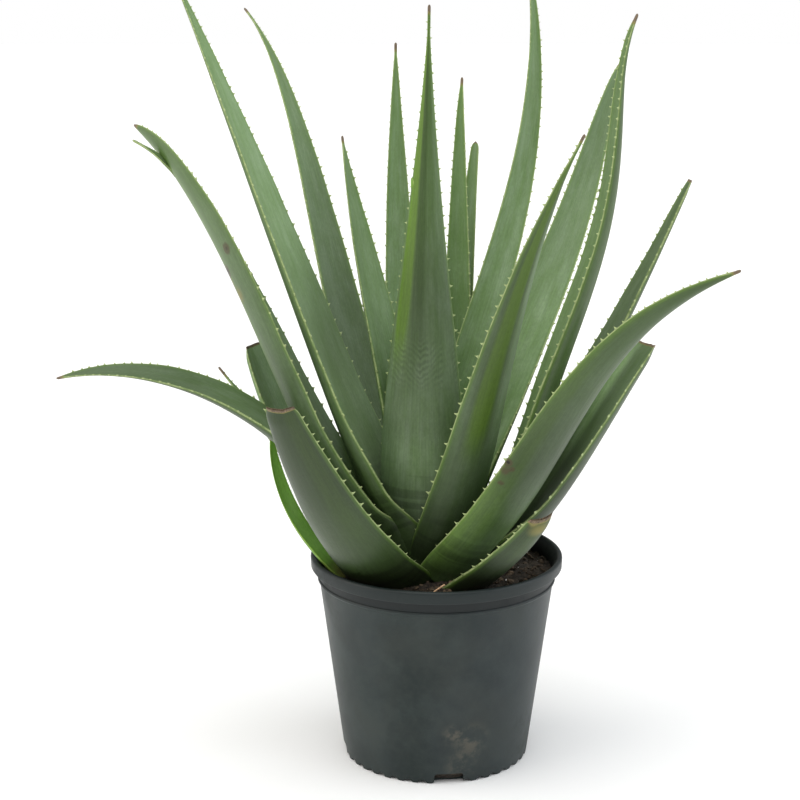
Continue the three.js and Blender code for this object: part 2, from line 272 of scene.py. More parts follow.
def makeGrainGroup():  # two sizes of grain, for heights
    tree, source, target = newGroup(
        "grain",
        [
            ("Coarse", "NodeSocketFloat", 60.0),
            ("Fine", "NodeSocketFloat", 400.0),
            ("Vector", "NodeSocketVector", None),
        ],
        [("Height", "NodeSocketFloat")],
    )
    coarse = addNode(tree, "ShaderNodeTexNoise")
    fine = addNode(tree, "ShaderNodeTexNoise")
    for made, socketName, detail in ((coarse, "Coarse", 4.0), (fine, "Fine", 2.0)):
        made.inputs["Detail"].default_value = detail
        link(tree, source.outputs[socketName], made.inputs["Scale"])
        link(tree, source.outputs["Vector"], made.inputs["Vector"])
    small = times(tree, fine.outputs["Fac"], fineGrainShare)
    link(tree, plus(tree, coarse.outputs["Fac"], small), target.inputs[0])
    return tree


dustGroup = makeDustGroup()
grainGroup = makeGrainGroup()


def objectPlace(tree):
    return addNode(tree, "ShaderNodeTexCoord").outputs["Object"]


def addDust(tree, colour, dustColour, amount, place):
    return placeGroup(tree, dustGroup, Colour=colour, Dust_Colour=dustColour, Amount=amount, Vector=place)


def addGrain(tree, bumpNode, coarse, fine, place):
    grain = placeGroup(tree, grainGroup, Coarse=coarse, Fine=fine, Vector=place)
    link(tree, grain.outputs["Height"], bumpNode.inputs["Height"])



# Every leaf carries its own measures for the skin: skin is metres across, metres along and the sheet,
# stain is dry, scar and tooth, hue is bloom, stripe and painted shade (a factor that paints light and shade
# into the colour), along is the share of the length, edge is the distance from the margin in millimetres,
# and imprint is the strength of the print of older leaves.

skinNoises = {  # scale, detail, roughness, and stretch across, along and from sheet to sheet
    "fine": (1.0, 3, 0.6, (700, 22, 1)),  # faint lines that run with the leaf
    "broad": (1.0, 3, 0.5, (120, 6, 1)),
    "clouds": (1.0, 4, 0.6, (60, 30, 1)),
    "specks": (1.0, 4, 0.7, (420, 260, 1)),
    "wrinkles": (1.0, 3, 0.6, (35, 480, 1)),  # fine lines that run across
    "bands": (1.0, 2, 0.5, (9, 120, 1)),
}
skinColours = {
    "toothTip": (0.4, 0.3, 0.12),
    "drying": (0.2, 0.18, 0.05),
    "dryDark": (0.075, 0.058, 0.04),
    "dryPale": (0.24, 0.17, 0.105),
    "dead": (0.02, 0.014, 0.01),
    "scarBrown": (0.07, 0.055, 0.022),
    "scarBlack": (0.012, 0.009, 0.006),
}
chevrons = {  # the print that an older leaf has left on a younger one
    "slope": 0.45,
    "wander": 0.016,
    "radiansPerMetre": 1150.0,
    "shade": 0.15,
    "height": 0.35,
}
lowBandDepth = 0.34  # how dark the bands across the lowest part of a leaf get
wrinkleHeight = (0.05, 0.55)  # where the clouds are thin, and where they are thick


def splitVector(tree, vector):
    parts = addNode(tree, "ShaderNodeSeparateXYZ")
    link(tree, vector, parts.inputs[0])
    return parts.outputs


def splitAttribute(tree, name):
    return splitVector(tree, attribute(tree, name).outputs["Vector"])


def shareAttribute(tree, name):
    return attribute(tree, name).outputs["Fac"]


def greyColour(tree, value):
    made = addNode(tree, "ShaderNodeCombineColor")
    for socket in made.inputs:
        link(tree, value, socket)
    return made.outputs[0]


def printedChevrons(tree, across, alongMetres, clouds, broad):  # close waves from -1 to 1
    slope = times(tree, mathNode(tree, "ABSOLUTE", across), -chevrons["slope"])
    place = plus(tree, alongMetres, slope)
    place = plus(tree, place, times(tree, clouds, chevrons["wander"]))
    wave = mathNode(tree, "SINE", times(tree, place, chevrons["radiansPerMetre"]))
    broken = rangeNode(tree, broad, 0.38, 0.62, 0.1, 1.0)
    return times(tree, wave, times(tree, shareAttribute(tree, "imprint"), broken))


def addDryMarks(tree, colour, dry, scar, clouds, specks):
    unevenness = times(tree, minus(tree, clouds, 0.5), 0.5)
    dryness = plus(tree, dry, times(tree, unevenness, dry))
    colour = mixColour(tree, rangeNode(tree, dryness, 0.02, 0.3), colour, skinColours["drying"])
    grain = rangeNode(tree, specks, 0.35, 0.65)
    brown = mixColour(tree, grain, skinColours["dryDark"], skinColours["dryPale"])
    colour = mixColour(tree, rangeNode(tree, dryness, 0.25, 0.6), colour, brown)
    colour = mixColour(tree, rangeNode(tree, dryness, 0.95, 1.3), colour, skinColours["dead"])
    scarring = plus(tree, scar, times(tree, unevenness, 1.6))
    onScar = rangeNode(tree, scar, 0.0, 0.1, 0.0, 0.85)
    brownScar = times(tree, rangeNode(tree, scarring, 0.2, 0.5), onScar)
    colour = mixColour(tree, brownScar, colour, skinColours["scarBrown"])
    return mixColour(tree, rangeNode(tree, scarring, 0.62, 0.8), colour, skinColours["scarBlack"])


def makeSkinGroup():
    tree, source, target = newGroup(
        "aloeSkin",
        [
            ("Green", "NodeSocketColor", (0.07, 0.14, 0.04, 1)),
            ("Bloom", "NodeSocketColor", (0.15, 0.22, 0.14, 1)),
            ("Stripe", "NodeSocketColor", (0.13, 0.23, 0.05, 1)),
            ("Margin", "NodeSocketColor", (0.42, 0.52, 0.2, 1)),
        ],
        [("Colour", "NodeSocketColor"), ("Roughness", "NodeSocketFloat"), ("Height", "NodeSocketFloat")],
    )
    skin = attribute(tree, "skin").outputs["Vector"]
    across, alongMetres = splitVector(tree, skin)[:2]
    dry, scar, tooth = splitAttribute(tree, "stain")
    bloom, stripe, shade = splitAttribute(tree, "hue")
    along = shareAttribute(tree, "along")
    edge = shareAttribute(tree, "edge")
    noises = {name: noiseNode(tree, skin, *values) for name, values in skinNoises.items()}
    fine, broad, clouds = noises["fine"], noises["broad"], noises["clouds"]
    specks, bands = noises["specks"], noises["bands"]

    cover = times(tree, bloom, rangeNode(tree, clouds, 0.3, 0.72, 0.62, 1.22))
    cover = times(tree, cover, rangeNode(tree, broad, 0.3, 0.7, 0.82, 1.1), clamp=True)
    colour = mixColour(tree, cover, source.outputs["Green"], source.outputs["Bloom"])
    ragged = times(tree, stripe, rangeNode(tree, broad, 0.25, 0.6, 0.65, 1.0), clamp=True)
    colour = mixColour(tree, ragged, colour, source.outputs["Stripe"])

    # the shade from the hue is painted light and shade: it makes the colour lighter where a leaf faces the
    # lamps and darker where other leaves shade it
    light = times(tree, shade, rangeNode(tree, fine, 0.3, 0.7, 0.9, 1.07))
    light = times(tree, light, rangeNode(tree, specks, 0.3, 0.75, 0.9, 1.1))
    nearRoot = rangeNode(tree, along, 0.08, 0.19, 1.0, 0.0)
    lowBands = times(tree, nearRoot, rangeNode(tree, bands, 0.46, 0.6))
    light = times(tree, light, minus(tree, 1.0, times(tree, lowBands, lowBandDepth)))
    printed = printedChevrons(tree, across, alongMetres, clouds, broad)
    light = plus(tree, light, times(tree, printed, chevrons["shade"]))
    colour = mixColour(tree, 1.0, colour, greyColour(tree, light), "MULTIPLY")

    nearEdge = rangeNode(tree, edge, 0.6, 3.5, 0.4, 0.0)
    colour = mixColour(tree, nearEdge, colour, source.outputs["Stripe"])
    line = rangeNode(tree, edge, 0.25, 0.9, 0.55, 0.0)
    line = times(tree, line, rangeNode(tree, bands, 0.35, 0.6, 0.4, 1.0))
    line = times(tree, line, rangeNode(tree, along, 0.02, 0.12, 0.35, 1.0))
    pale = mathNode(tree, "MAXIMUM", line, tooth)
    colour = mixColour(tree, pale, colour, source.outputs["Margin"])
    toothEnd = rangeNode(tree, tooth, 0.95, 1.0, 0.0, 0.15)
    colour = mixColour(tree, toothEnd, colour, skinColours["toothTip"])
    colour = addDryMarks(tree, colour, dry, scar, clouds, specks)
    link(tree, colour, target.inputs["Colour"])

    rough = rangeNode(tree, cover, 0.0, 1.0, 0.38, 0.6)
    rough = plus(tree, rough, times(tree, dry, 0.25), clamp=True)
    link(tree, rough, target.inputs["Roughness"])
    height = plus(tree, times(tree, fine, 0.25), times(tree, broad, 0.7))
    wrinkled = rangeNode(tree, clouds, 0.45, 0.7, *wrinkleHeight)
    height = plus(tree, height, times(tree, noises["wrinkles"], wrinkled))
    height = plus(tree, height, times(tree, printed, chevrons["height"]))
    height = minus(tree, height, dry)
    link(tree, height, target.inputs["Height"])
    return tree


skinGroup = makeSkinGroup()


def makeLeafMaterial(name, **colours):
    material, tree, shader, bumpNode = newMaterial(name, specular=0.4, bump=0.5, depth=0.0006)
    skin = placeGroup(tree, skinGroup, **colours)
    link(tree, skin.outputs["Colour"], shader.inputs["Base Color"])
    link(tree, skin.outputs["Roughness"], shader.inputs["Roughness"])
    link(tree, skin.outputs["Height"], bumpNode.inputs["Height"])
    return material


leafMaterial = makeLeafMaterial(
    "aloeLeafSkin",
    Green=(0.062, 0.125, 0.02),
    Bloom=(0.15, 0.213, 0.118),
    Stripe=(0.12, 0.225, 0.025),
    Margin=(0.5, 0.58, 0.27),
)
# The pup's skin is a lighter, brighter green: partly its own young colour and partly painted light where it
# sits in the shade of the leaf above it.
pupMaterial = makeLeafMaterial(
    "pupLeafSkin",
    Green=(0.1, 0.24, 0.02),
    Bloom=(0.17, 0.32, 0.08),
    Stripe=(0.17, 0.38, 0.02),
    Margin=(0.4, 0.55, 0.12),
)
print("aloe: leaf skin made")


# What every leaf shares, unless it says otherwise itself. toothEvery goes from root to tip, toothSpread
# and toothSizes are the ends of a random share, and a bloom runs from root to tip.
rosette = {
    "axis": (-10, 0),
    "mixLevel": 178,
    "taperStart": 1.6,
    "taperPower": 1.4,
    "thickness": 15,
    "thicknessPower": 0.85,
    "backShare": 0.68,
    "cup": 30,
    "claspEnd": 0.3,
    "maxClasp": 64,
    "wrap": 8,
    "wrapEnd": 0.12,
    "tipWidth": 2.6,
    "tipThickness": 2.2,
    "tipRound": 3.0,
    "tipRows": (1.7, 1.1, 0.6, 0.25, 0),
    "pinch": 0.4,
    "pinchOver": 14,
    "cutShrink": 0.12,
    "cutShrinkOver": 7,
    "cutUneven": 1.2,
    "cutUnevenOver": 14,
    "cutRows": ((1, 1, 0), (1, 0.92, 0.5), (1, 0.7, 0.2), (1, 0.45, -0.8), (1, 0, -1.3)),
    "forkNarrow": 0.2,
    "widthWobble": 0.02,
    "backWobble": 0.03,
    "marginWave": 0.7,
    "marginWaveLength": 40,
    "spineSteps": 120,
    "around": 44,
    "rowEvery": 2.4,
    "fewestRows": 24,
    "toothEvery": (17, 7.5),
    "toothSpread": (0.75, 1.25),
    "toothBase": 5.4,
    "toothHeight": 4.2,
    "toothThickness": 2.4,
    "toothSizes": (0.8, 1.15),
    "toothLean": 0.4,
    "toothWaist": 0.35,
    "toothSink": 0.5,
    "tipTooth": 0.55,
    "leastTooth": 0.35,
    "fullToothLength": 300,
    "fullToothWidth": 55,
    "bareBase": 0.08,
    "bareTip": 0.975,
    "bareCut": 0.985,
    "dryCut": 2,
    "dryTip": 0.024,
    "imprintEase": 0.04,
    "stripes": ((0, 0.5, 0.35, 0.95, 0.4),),
    "faceBloom": (0.35, 0.9, 0.75, 0.4),
    "backBloom": (0.25, 0.95, 0.4, 0.1),
    "paintedPaleLight": 0.25,
    # a leaf's face is painted lighter and its back darker: painted light on faces that turn up to the lamps,
    # painted shade on backs
    "paintedFaceLight": 1.4,
    "paintedBackShade": 0.8,
    "seed": 11,
}

# Headings, roots, pitches and widths are those of the solid leaves.
# A band is a place across (-1 to 1), its half width, where it starts and ends along, and its strength.
# A mark is a place along, a place across, its size in millimetres and its strength.
# An imprint is where the print starts and ends along, and its strength.
# A leaf's shade is pairs of a place along and a factor that paints light and shade into its colour.
leaves = [
    dict(node="leaf_front_centre", heading=256, out=17, up=28,
         length=490, pitch=(85, 102, 98), swing=8, width=110, taper=1.07, power=1.31,
         backBloom=(0.6, 1, 0.9, 0.4, 0.15, 0),
         shade=((0, 1.2), (0.1, 1.6), (0.16, 1.65), (0.24, 1.15), (0.34, 0.95), (0.47, 0.85),
                (0.65, 1.1)),
         stripes=((-0.62, 0.3, 0.4, 0.97, 2.0),),
         paintedShadeBands=((-0.12, 0.32, 0.36, 0.97, 0.28), (0.7, 0.5, 0.06, 0.26, 0.25)),
         palesAndPaintedLight=((-0.97, 0.36, 0.15, 0.95, 1.0), (0.8, 0.35, 0.3, 0.85, 0.5)),
         imprint=(0.29, 0.41, 0.9)),
    dict(node="leaf_front_right", heading=302, out=27, up=9,
         length=455, pitch=(65, 76, 51), width=70, taper=1.4, power=1.2,
         backBloom=(0.3, 0.9, 0.5, 0.25, 0.1),
         shade=((0, 0.6), (0.11, 0.56), (0.26, 0.8), (0.49, 0.68), (0.72, 0.72)),
         stripes=((-0.25, 0.42, 0.34, 0.96, 2.0),), paintedPaleLight=0.8,
         palesAndPaintedLight=((-0.9, 0.25, 0.3, 0.6, 0.3), (0.62, 0.52, 0.3, 0.8, 1.0))),
    dict(node="leaf_right_tall", heading=36, out=22, up=22,
         length=534, pitch=(54, 89, 4, 97, 31), swing=31, roll=41, width=57, taper=1.5, power=0.7, cup=26,
         shade=((0, 1.2), (0.35, 1.4), (0.64, 0.94), (0.83, 0.75))),
    dict(node="leaf_right_narrow", heading=351, out=30, up=12,
         length=529, pitch=(28, 143, -17, 145, 66), swing=-1, roll=22, width=60, taper=2.4, power=0.8, cup=53,
         backBloom=(0.2, 0.4, 0.3, 0.1), faceBloom=(0.3, 0.6, 0.5, 0.3), shade=((0, 0.9),)),
    dict(node="leaf_right_sweeping", heading=313, out=43, up=1,
         length=428, pitch=(54, 43, 85, 33, 24), swing=10, roll=-37, width=85, taper=1, power=0.8,
         shade=((0, 1.4), (0.11, 1.6), (0.2, 1.1), (0.38, 0.6), (0.64, 0.83)),
         stripes=((-0.95, 0.35, 0.02, 0.34, 0.6), (-0.7, 0.4, 0.1, 0.6, 0.4), (-0.9, 0.3, 0.5, 0.97, 0.5)),
         scars=((0.34, -0.9, 9, 0.5), (0.35, -0.75, 5, 0.7), (0.36, -0.93, 6, 0.8), (0.31, -0.8, 5, 0.6))),
    dict(node="leaf_right_cut", heading=10, out=25, up=10, shade=((0, 0.58),),
         length=483, pitch=(42, 70, 63), swing=3, roll=4, width=66, taper=1.8, cut=0.86),
    dict(node="leaf_right_low_cut", heading=350, out=44, up=-6, paintedBaseShade=0.25,
         shade=((0, 0.3), (0.3, 0.36), (0.45, 0.62), (0.6, 0.68)), paintedFaceLights=((0.75, 0.5, 0.12, 0.62, 1.5),),
         length=417, pitch=(38, 86, 33), swing=12, roll=23, width=97, taper=2.4, cut=0.66, horn=-5),
    dict(node="leaf_front_stub", heading=305, out=48, up=-15,
         shade=((0, 0.25), (0.3, 0.24), (0.45, 0.5)), paintedBaseShade=0.3,
         length=278, pitch=(36, 34, 76), swing=-9, roll=-6, width=50, cut=0.6, dryEnd=5, horn=4,
         dryMarks=((0.555, 0.1, 15, 0.27), (0.585, -0.5, 6, 0.35))),
    dict(node="leaf_left_cut", heading=240, bearing=225, out=57, up=-10,
         paintedBaseShade=0.25, shade=((0, 0.55), (0.24, 0.56), (0.4, 0.43)),
         length=446, pitch=(44, 54, 69), swing=5, roll=14, width=106, taper=1, cut=0.6, dryEnd=1.5,
         backBloom=(0.1, 0.55, 0.3, 0.15), stripes=((0.5, 0.4, 0.25, 0.7, 0.35),)),
    dict(node="leaf_left_arching", heading=191, out=43, up=-2, shade=((0, 0.7), (0.56, 0.67), (0.71, 0.54)),
         length=379, pitch=(67, 46, -14), swing=-8, roll=-20, width=71, taper=1.8, power=0.8),
    dict(node="leaf_left_forked", heading=178, out=28, up=11, wrap=50,
         length=497, pitch=(46, 89, 24), swing=-48, roll=58, width=103, taper=3.2, power=0.8, cup=42,
         shade=((0, 0.95), (0.37, 0.98), (0.52, 1.15), (0.78, 1.26)), faceBloom=(0.3, 0.6, 0.5, 0.4),
         fork=dict(start=0.84, heading=155, length=58, pitch=(50, 28, 22), roll=-8, width=14,
                   thickness=4, ease=0.35),
         scars=((0.62, 0.2, 12, 1.0), (0.65, 0.7, 9, 0.6)),
         dryMarks=((0.57, 0.3, 14, 0.3), (0.6, 0.1, 12, 0.26))),
    dict(node="leaf_left_long", heading=172, out=25, up=15, wrap=50,
         length=571, pitch=(68, 71, 67), swing=-6, roll=-8, width=111, taper=1.4, power=1,
         shade=((0, 1.1), (0.25, 1.15), (0.36, 0.9), (0.57, 1.2))),
    dict(node="leaf_left_inner", heading=122, out=20, up=24,
         length=599, pitch=(49, 61, 84, 27), swing=-1, roll=-3, width=54, taper=1.7, power=1.2,
         shade=((0, 0.6), (0.39, 0.57), (0.57, 0.7), (0.77, 0.85))),
    dict(node="leaf_back_left", heading=143, out=17, up=28,
         length=379, pitch=(87, 65, 80), swing=-5, roll=-7, width=53, taper=2.2, power=1,
         shade=((0, 1.1), (0.57, 1.1), (0.77, 0.97))),
    dict(node="leaf_back_centre", heading=99, out=26, up=20,
         length=493, pitch=(48, 79, 91), swing=2, roll=-2, width=45, taper=1.8, power=0.9,
         shade=((0, 1.15),)),
    dict(node="leaf_back_right", heading=66, out=15, up=32,
         length=430, pitch=(54, 105, 84), width=46, taper=1, power=0.7,
         shade=((0, 1.08),), faceBloom=(0.3, 0.6, 0.5, 0.3)),
    dict(node="leaf_back_blunt", heading=66, out=29, up=14,
         length=438, pitch=(67, 90, 72), width=37, taper=1.3, power=0.85, cut=0.88, roundEnd=7, dryEnd=1.5),
    dict(node="leaf_inner_right", heading=42, out=15, up=31,
         length=537, pitch=(88, 47, 73, 103), swing=2, roll=91, width=45, taper=1.1, power=0.6, cup=42,
         shade=((0, 1.15), (0.55, 1.12), (0.74, 1))),
    dict(node="leaf_left_short_cut", heading=160, out=32, up=6, shade=((0, 1.1), (0.56, 1.5)),
         length=400, pitch=(30, 74, 89), swing=-4, roll=-7, width=68, taper=2.1, cut=0.62),
    dict(node="leaf_left_small", heading=152, out=46, up=-4, dryEnd=18, shade=((0, 0.8),),
         length=253, pitch=(39, 47, 44), swing=-2, roll=-7, width=45, taper=2.0),
    dict(node="leaf_heart", heading=190, bearing=135, out=11, up=36,
         shade=((0, 2.2),), backBloom=(0.2, 0), dryEnd=0,
         length=349, pitch=(90, 89, 88), width=30, power=0.6, cut=0.94, roundEnd=3,
         stripes=((0, 2, 0, 1, 1),), faceStripes=((0, 2, 0, 1, 1),)),
    dict(node="leaf_rear_arching", heading=97, out=33, up=6,
         length=390, pitch=(40, 52, 0), width=72),
    dict(node="leaf_rear_right_cut", heading=74, out=38, up=2,
         length=350, pitch=(26, 60, 56), width=74, cut=0.58),
    dict(node="leaf_rear_left", heading=118, out=38, up=2,
         length=320, pitch=(34, 60, 42), width=62),
    dict(node="leaf_rear_low", heading=38, out=46, up=-6,
         length=236, pitch=(22, 48, 44), width=64, cut=0.7),
    dict(node="pup_leaf", heading=168, bearing=199, out=77, up=-2,
         length=154, pitch=(37, 51, 71, 88), swing=-4, roll=-30,
         width=24, taper=2, power=0.6, cup=28, thickness=6, shade=((0, 1), (0.4, 1.15), (0.7, 1.4)),
         dryMarks=((0, 0, 40, 0.22),)),
]


def rootOf(leaf):
    bearing = math.radians(leaf.get("bearing", leaf["heading"]))
    return Vector((
        rosette["axis"][0] + leaf["out"] * math.cos(bearing),
        rosette["axis"][1] + leaf["out"] * math.sin(bearing),
        rosette["mixLevel"] + leaf["up"],
    ))


def spineOf(leaf):  # place and directions of the leaf's middle line, in fine even steps
    steps = rosette["spineSteps"]
    reach = leaf.get("cut", 1)
    at = leaf["root"].copy() if "root" in leaf else rootOf(leaf)
    frames = []
    for i in range(steps + 1):
        t = i / steps * reach
        pitch = math.radians(bend(leaf["pitch"], t))
        heading = math.radians(leaf["heading"] + leaf.get("swing", 0) * t)
        flat = math.cos(pitch)
        run = Vector((flat * math.cos(heading), flat * math.sin(heading), math.sin(pitch)))
        side = Vector((-math.sin(heading), math.cos(heading), 0))
        side.rotate(Matrix.Rotation(math.radians(leaf.get("roll", 0)) * t, 3, run))
        frames.append((t, at.copy(), run, side, run.cross(side)))
        at += run * (leaf["length"] * reach / steps)
    return frames


def frameAt(frames, u):
    place = u * (len(frames) - 1)
    i = min(int(place), len(frames) - 2)
    k = place - i
    before, after = frames[i], frames[i + 1]
    t = lerp(before[0], after[0], k)
    return [t] + [a.lerp(b, k) for a, b in zip(before[1:], after[1:])]


def roundedTip(leaf, t):  # 1 along the leaf, falling to 0 over the last few millimetres
    if "cut" in leaf and "roundEnd" not in leaf:
        return 1
    left = (leaf.get("cut", 1) - t) * leaf["length"]
    left = min(left / leaf.get("roundEnd", rosette["tipRound"]), 1)
    return math.sqrt(max(1 - (1 - left) ** 2, 0))


def widthAt(leaf, t):
    fall = max(1 - t ** leaf.get("taper", rosette["taperStart"]), 0)
    width = leaf["width"] * fall ** leaf.get("power", rosette["taperPower"])
    return max(width, rosette["tipWidth"]) * max(roundedTip(leaf, t), 0.01)


def thicknessAt(leaf, t):
    full = leaf.get("thickness", rosette["thickness"] * min(1, leaf["width"] / 60))
    pinch = 1
    if "cut" in leaf:
        left = (leaf["cut"] - t) * leaf["length"]
        pinch = lerp(rosette["pinch"], 1, smooth(0, rosette["pinchOver"], left))
    thick = full * (1 - t) ** rosette["thicknessPower"] * pinch
    return max(thick, rosette["tipThickness"]) * roundedTip(leaf, t)


def cupAt(leaf, t):
    clasp = min(math.radians(rosette["maxClasp"]), leaf["width"] / 2 / leaf["out"])
    opened = math.radians(leaf.get("cup", rosette["cup"]))
    wrap = math.radians(leaf.get("wrap", rosette["wrap"])) * (1 - smooth(0, rosette["wrapEnd"], t))
    return lerp(clasp, opened, smooth(0, rosette["claspEnd"], t)) + wrap


def crossSection(leaf, frames, u, index):  # everything about one row of the leaf
    t, at, run, side, face = frameAt(frames, u)
    cup = cupAt(leaf, t)
    wobble = noise.noise(Vector((t * 5, index * 7.3, 0.5)))
    half = widthAt(leaf, t) / 2 * (1 + rosette["widthWobble"] * wobble)
    if "ease" in leaf:  # a split-off point grows out of the blade
        half *= lerp(rosette["forkNarrow"], 1, smooth(0, leaf["ease"], t))
    return {"t": t, "at": at, "run": run, "side": side, "face": face, "cup": cup,
            "half": half, "radius": half / cup, "thick": thicknessAt(leaf, t)}


def sectionPoint(leaf, row, angle, index, fullness):
    # angle goes round the section: 0 and 180 degrees are the margins, 90 the face, 270 the back
    s, up = math.cos(angle), math.sin(angle)
    share = rosette["backShare"] if up < 0 else 1 - rosette["backShare"]
    lift = up * row["thick"] * share * fullness
    if up < 0:
        lift *= 1 + rosette["backWobble"] * noise.noise(Vector((s * 2.5, row["t"] * 7, index * 3.1)))
    turn = s * row["cup"]
    point = row["at"] + row["side"] * ((row["radius"] - lift) * math.sin(turn))
    point += row["face"] * (row["radius"] * (1 - math.cos(turn)) + lift * math.cos(turn))
    along = row["t"] * leaf["length"] / rosette["marginWaveLength"]
    waves = noise.noise(Vector((along, s * 0.6, index * 5.7)))
    return point + row["face"] * (rosette["marginWave"] * abs(s) ** 4 * waves)


def marginAt(row, way):  # a point of the margin, and the direction out of it
    cup, radius = row["cup"], row["radius"]
    point = row["at"] + row["side"] * (radius * math.sin(cup) * way)
    point += row["face"] * (radius * (1 - math.cos(cup)))
    return point, row["side"] * (way * math.cos(cup)) + row["face"] * math.sin(cup)


def worstMark(leaf, marks, t, s):  # marks are share of length, place across, size in mm, strength
    worst = 0.0
    for place, across, size, strength in marks:
        away = math.hypot((t - place) * leaf["length"], (s - across) * widthAt(leaf, t) / 2)
        worst = max(worst, strength * (1 - smooth(0, size, away)))
    return worst


def bandAt(bands, t, s):
    most = 0.0
    for place, spread, start, end, strength in bands:
        across = 1 - smooth(0.35, 1, abs(s - place) / spread)
        length = smooth(start - 0.1, start + 0.1, t) * (1 - smooth(end - 0.05, end + 0.1, t))
        most = max(most, across * length * strength)
    return most


def paintedShadeAt(leaf, t):  # follows the leaf's pairs of place and painted shade, a factor that paints light and shade into its colour
    pairs = leaf.get("shade", ((0, 1),))
    for (start, first), (end, second) in zip(pairs, pairs[1:]):
        if t < end:
            return lerp(first, second, smooth(start, end, t))
    return pairs[-1][1]


def hueAndPaintedShadeAt(leaf, t, s, isFace):  # bloom, stripe and painted light and shade of a place on the skin
    # each leaf is painted darker towards its root, as painted shade where the leaves crowd together
    depth = lerp(leaf.get("paintedBaseShade", 0.5), 1, smooth(0.01, 0.2, t)) * paintedShadeAt(leaf, t)
    if isFace:
        bloom = bend(leaf.get("faceBloom", rosette["faceBloom"]), t)
        # face lights are painted light: lighter strips on a leaf's face
        depth *= rosette["paintedFaceLight"] * (1 + bandAt(leaf.get("paintedFaceLights", ()), t, s))
        return Vector((bloom, bandAt(leaf.get("faceStripes", ()), t, s), depth))
    bloom = bend(leaf.get("backBloom", rosette["backBloom"]), t)
    # pale bands raise the bloom and are also painted light: they lift the shade on a leaf's lit side
    pale = bandAt(leaf.get("palesAndPaintedLight", ()), t, s)
    # dark bands are painted shade: darker, greener strips where a leaf turns out of the light or lies in
    # another leaf's shadow
    dark = bandAt(leaf.get("paintedShadeBands", ()), t, s)
    # stripes are yellow-green bands of the skin; the strongest ones also paint light on the lit side of a
    # leaf
    stripe = bandAt(leaf.get("stripes", rosette["stripes"]), t, s)
    bloom = lerp(bloom * max(1 - 2 * dark, 0), 1, pale)
    light = (1 + leaf.get("paintedPaleLight", rosette["paintedPaleLight"]) * pale) * (1 - dark)
    return Vector((bloom, stripe, depth * rosette["paintedBackShade"] * light))


def makeTooth(bm):  # a small hooked cone, one unit wide and high, to be copied along the margins
    for vertex in bm.verts:
        vertex.tag = True
    bmesh.ops.create_cone(bm, cap_ends=True, segments=8, radius1=1, radius2=0, depth=1)
    fresh = [v for v in bm.verts if not v.tag]
    bmesh.ops.remove_doubles(bm, verts=fresh, dist=1e-5)
    slants = [e for e in bm.edges if not e.verts[0].tag and abs(e.verts[0].co.z - e.verts[1].co.z) > 0.5]
    bmesh.ops.subdivide_edges(bm, edges=slants, cuts=2)
    fresh = [v for v in bm.verts if not v.tag]
    for vertex in fresh:
        height = vertex.co.z + 0.5
        pinch = 1 - rosette["toothWaist"] * math.sin(math.pi * height)
        vertex.co.x = vertex.co.x * pinch + rosette["toothLean"] * height ** 1.6
        vertex.co.y *= pinch
        vertex.co.z = height
    edges = {e for v in fresh for e in v.link_edges}
    faces = {f for v in fresh for f in v.link_faces}
    return fresh + list(edges) + list(faces)


def placeTooth(bm, pattern, row, way, size):  # gives its corners with their heights in the tooth
    point, outward = marginAt(row, way)
    thick = outward.cross(row["run"]).normalized()
    spread = Matrix.Diagonal((
        rosette["toothBase"] / 2 * size,
        rosette["toothThickness"] / 2 * size,
        rosette["toothHeight"] * size,
    ))
    turn = Matrix((row["run"], thick, outward)).transposed() @ spread
    copied = bmesh.ops.duplicate(bm, geom=pattern)["geom"]
    placed = []
    for vertex in copied:
        if isinstance(vertex, bmesh.types.BMVert):
            placed.append((vertex, vertex.co.z))
            vertex.co = (point - outward * rosette["toothSink"] + turn @ vertex.co) * mm
    return placed


def addTeeth(bm, leaf, frames, index, layers):
    dice = random.Random(rosette["seed"] + 31 * index)
    reach = leaf.get("cut", 1)
    pattern = makeTooth(bm)
    shorter = min(1, leaf["length"] / rosette["fullToothLength"])
    narrower = min(1, leaf["width"] / rosette["fullToothWidth"])
    for way in (-1, 1):
        t = rosette["bareBase"]
        while t < min(rosette["bareTip"], reach * rosette["bareCut"]):
            every = lerp(*rosette["toothEvery"], smooth(0.1, 0.9, t)) * shorter
            size = lerp(1, rosette["tipTooth"], t) * dice.uniform(*rosette["toothSizes"])
            size *= narrower * lerp(0.5, 1, smooth(rosette["bareBase"], 0.2, t))
            size = max(size, rosette["leastTooth"])
            row = crossSection(leaf, frames, t / reach, index)
            for vertex, height in placeTooth(bm, pattern, row, way, size):
                vertex[layers["skin"]] = Vector((0, t * leaf["length"] * mm, index))
                vertex[layers["along"]] = t
                vertex[layers["stain"]] = Vector((0, 0, 0.5 + 0.5 * height))
                vertex[layers["hue"]] = hueAndPaintedShadeAt(leaf, t, 1, True)
            t += every * dice.uniform(*rosette["toothSpread"]) / leaf["length"]
    bmesh.ops.delete(bm, geom=[v for v in pattern if isinstance(v, bmesh.types.BMVert)], context="VERTS")


def rowsOf(leaf):  # share of length, fullness of the section and millimetres beyond the end
    span = leaf["length"] * leaf.get("cut", 1)
    count = max(rosette["fewestRows"], round(span / rosette["rowEvery"]))
    rows = [(0, 0, 0), (0, 0.6, 0)] + [(i / count, 1, 0) for i in range(count)]
    if "cut" in leaf:
        return rows + list(rosette["cutRows"])
    return rows + [(1 - left / span, 1, 0) for left in rosette["tipRows"]]


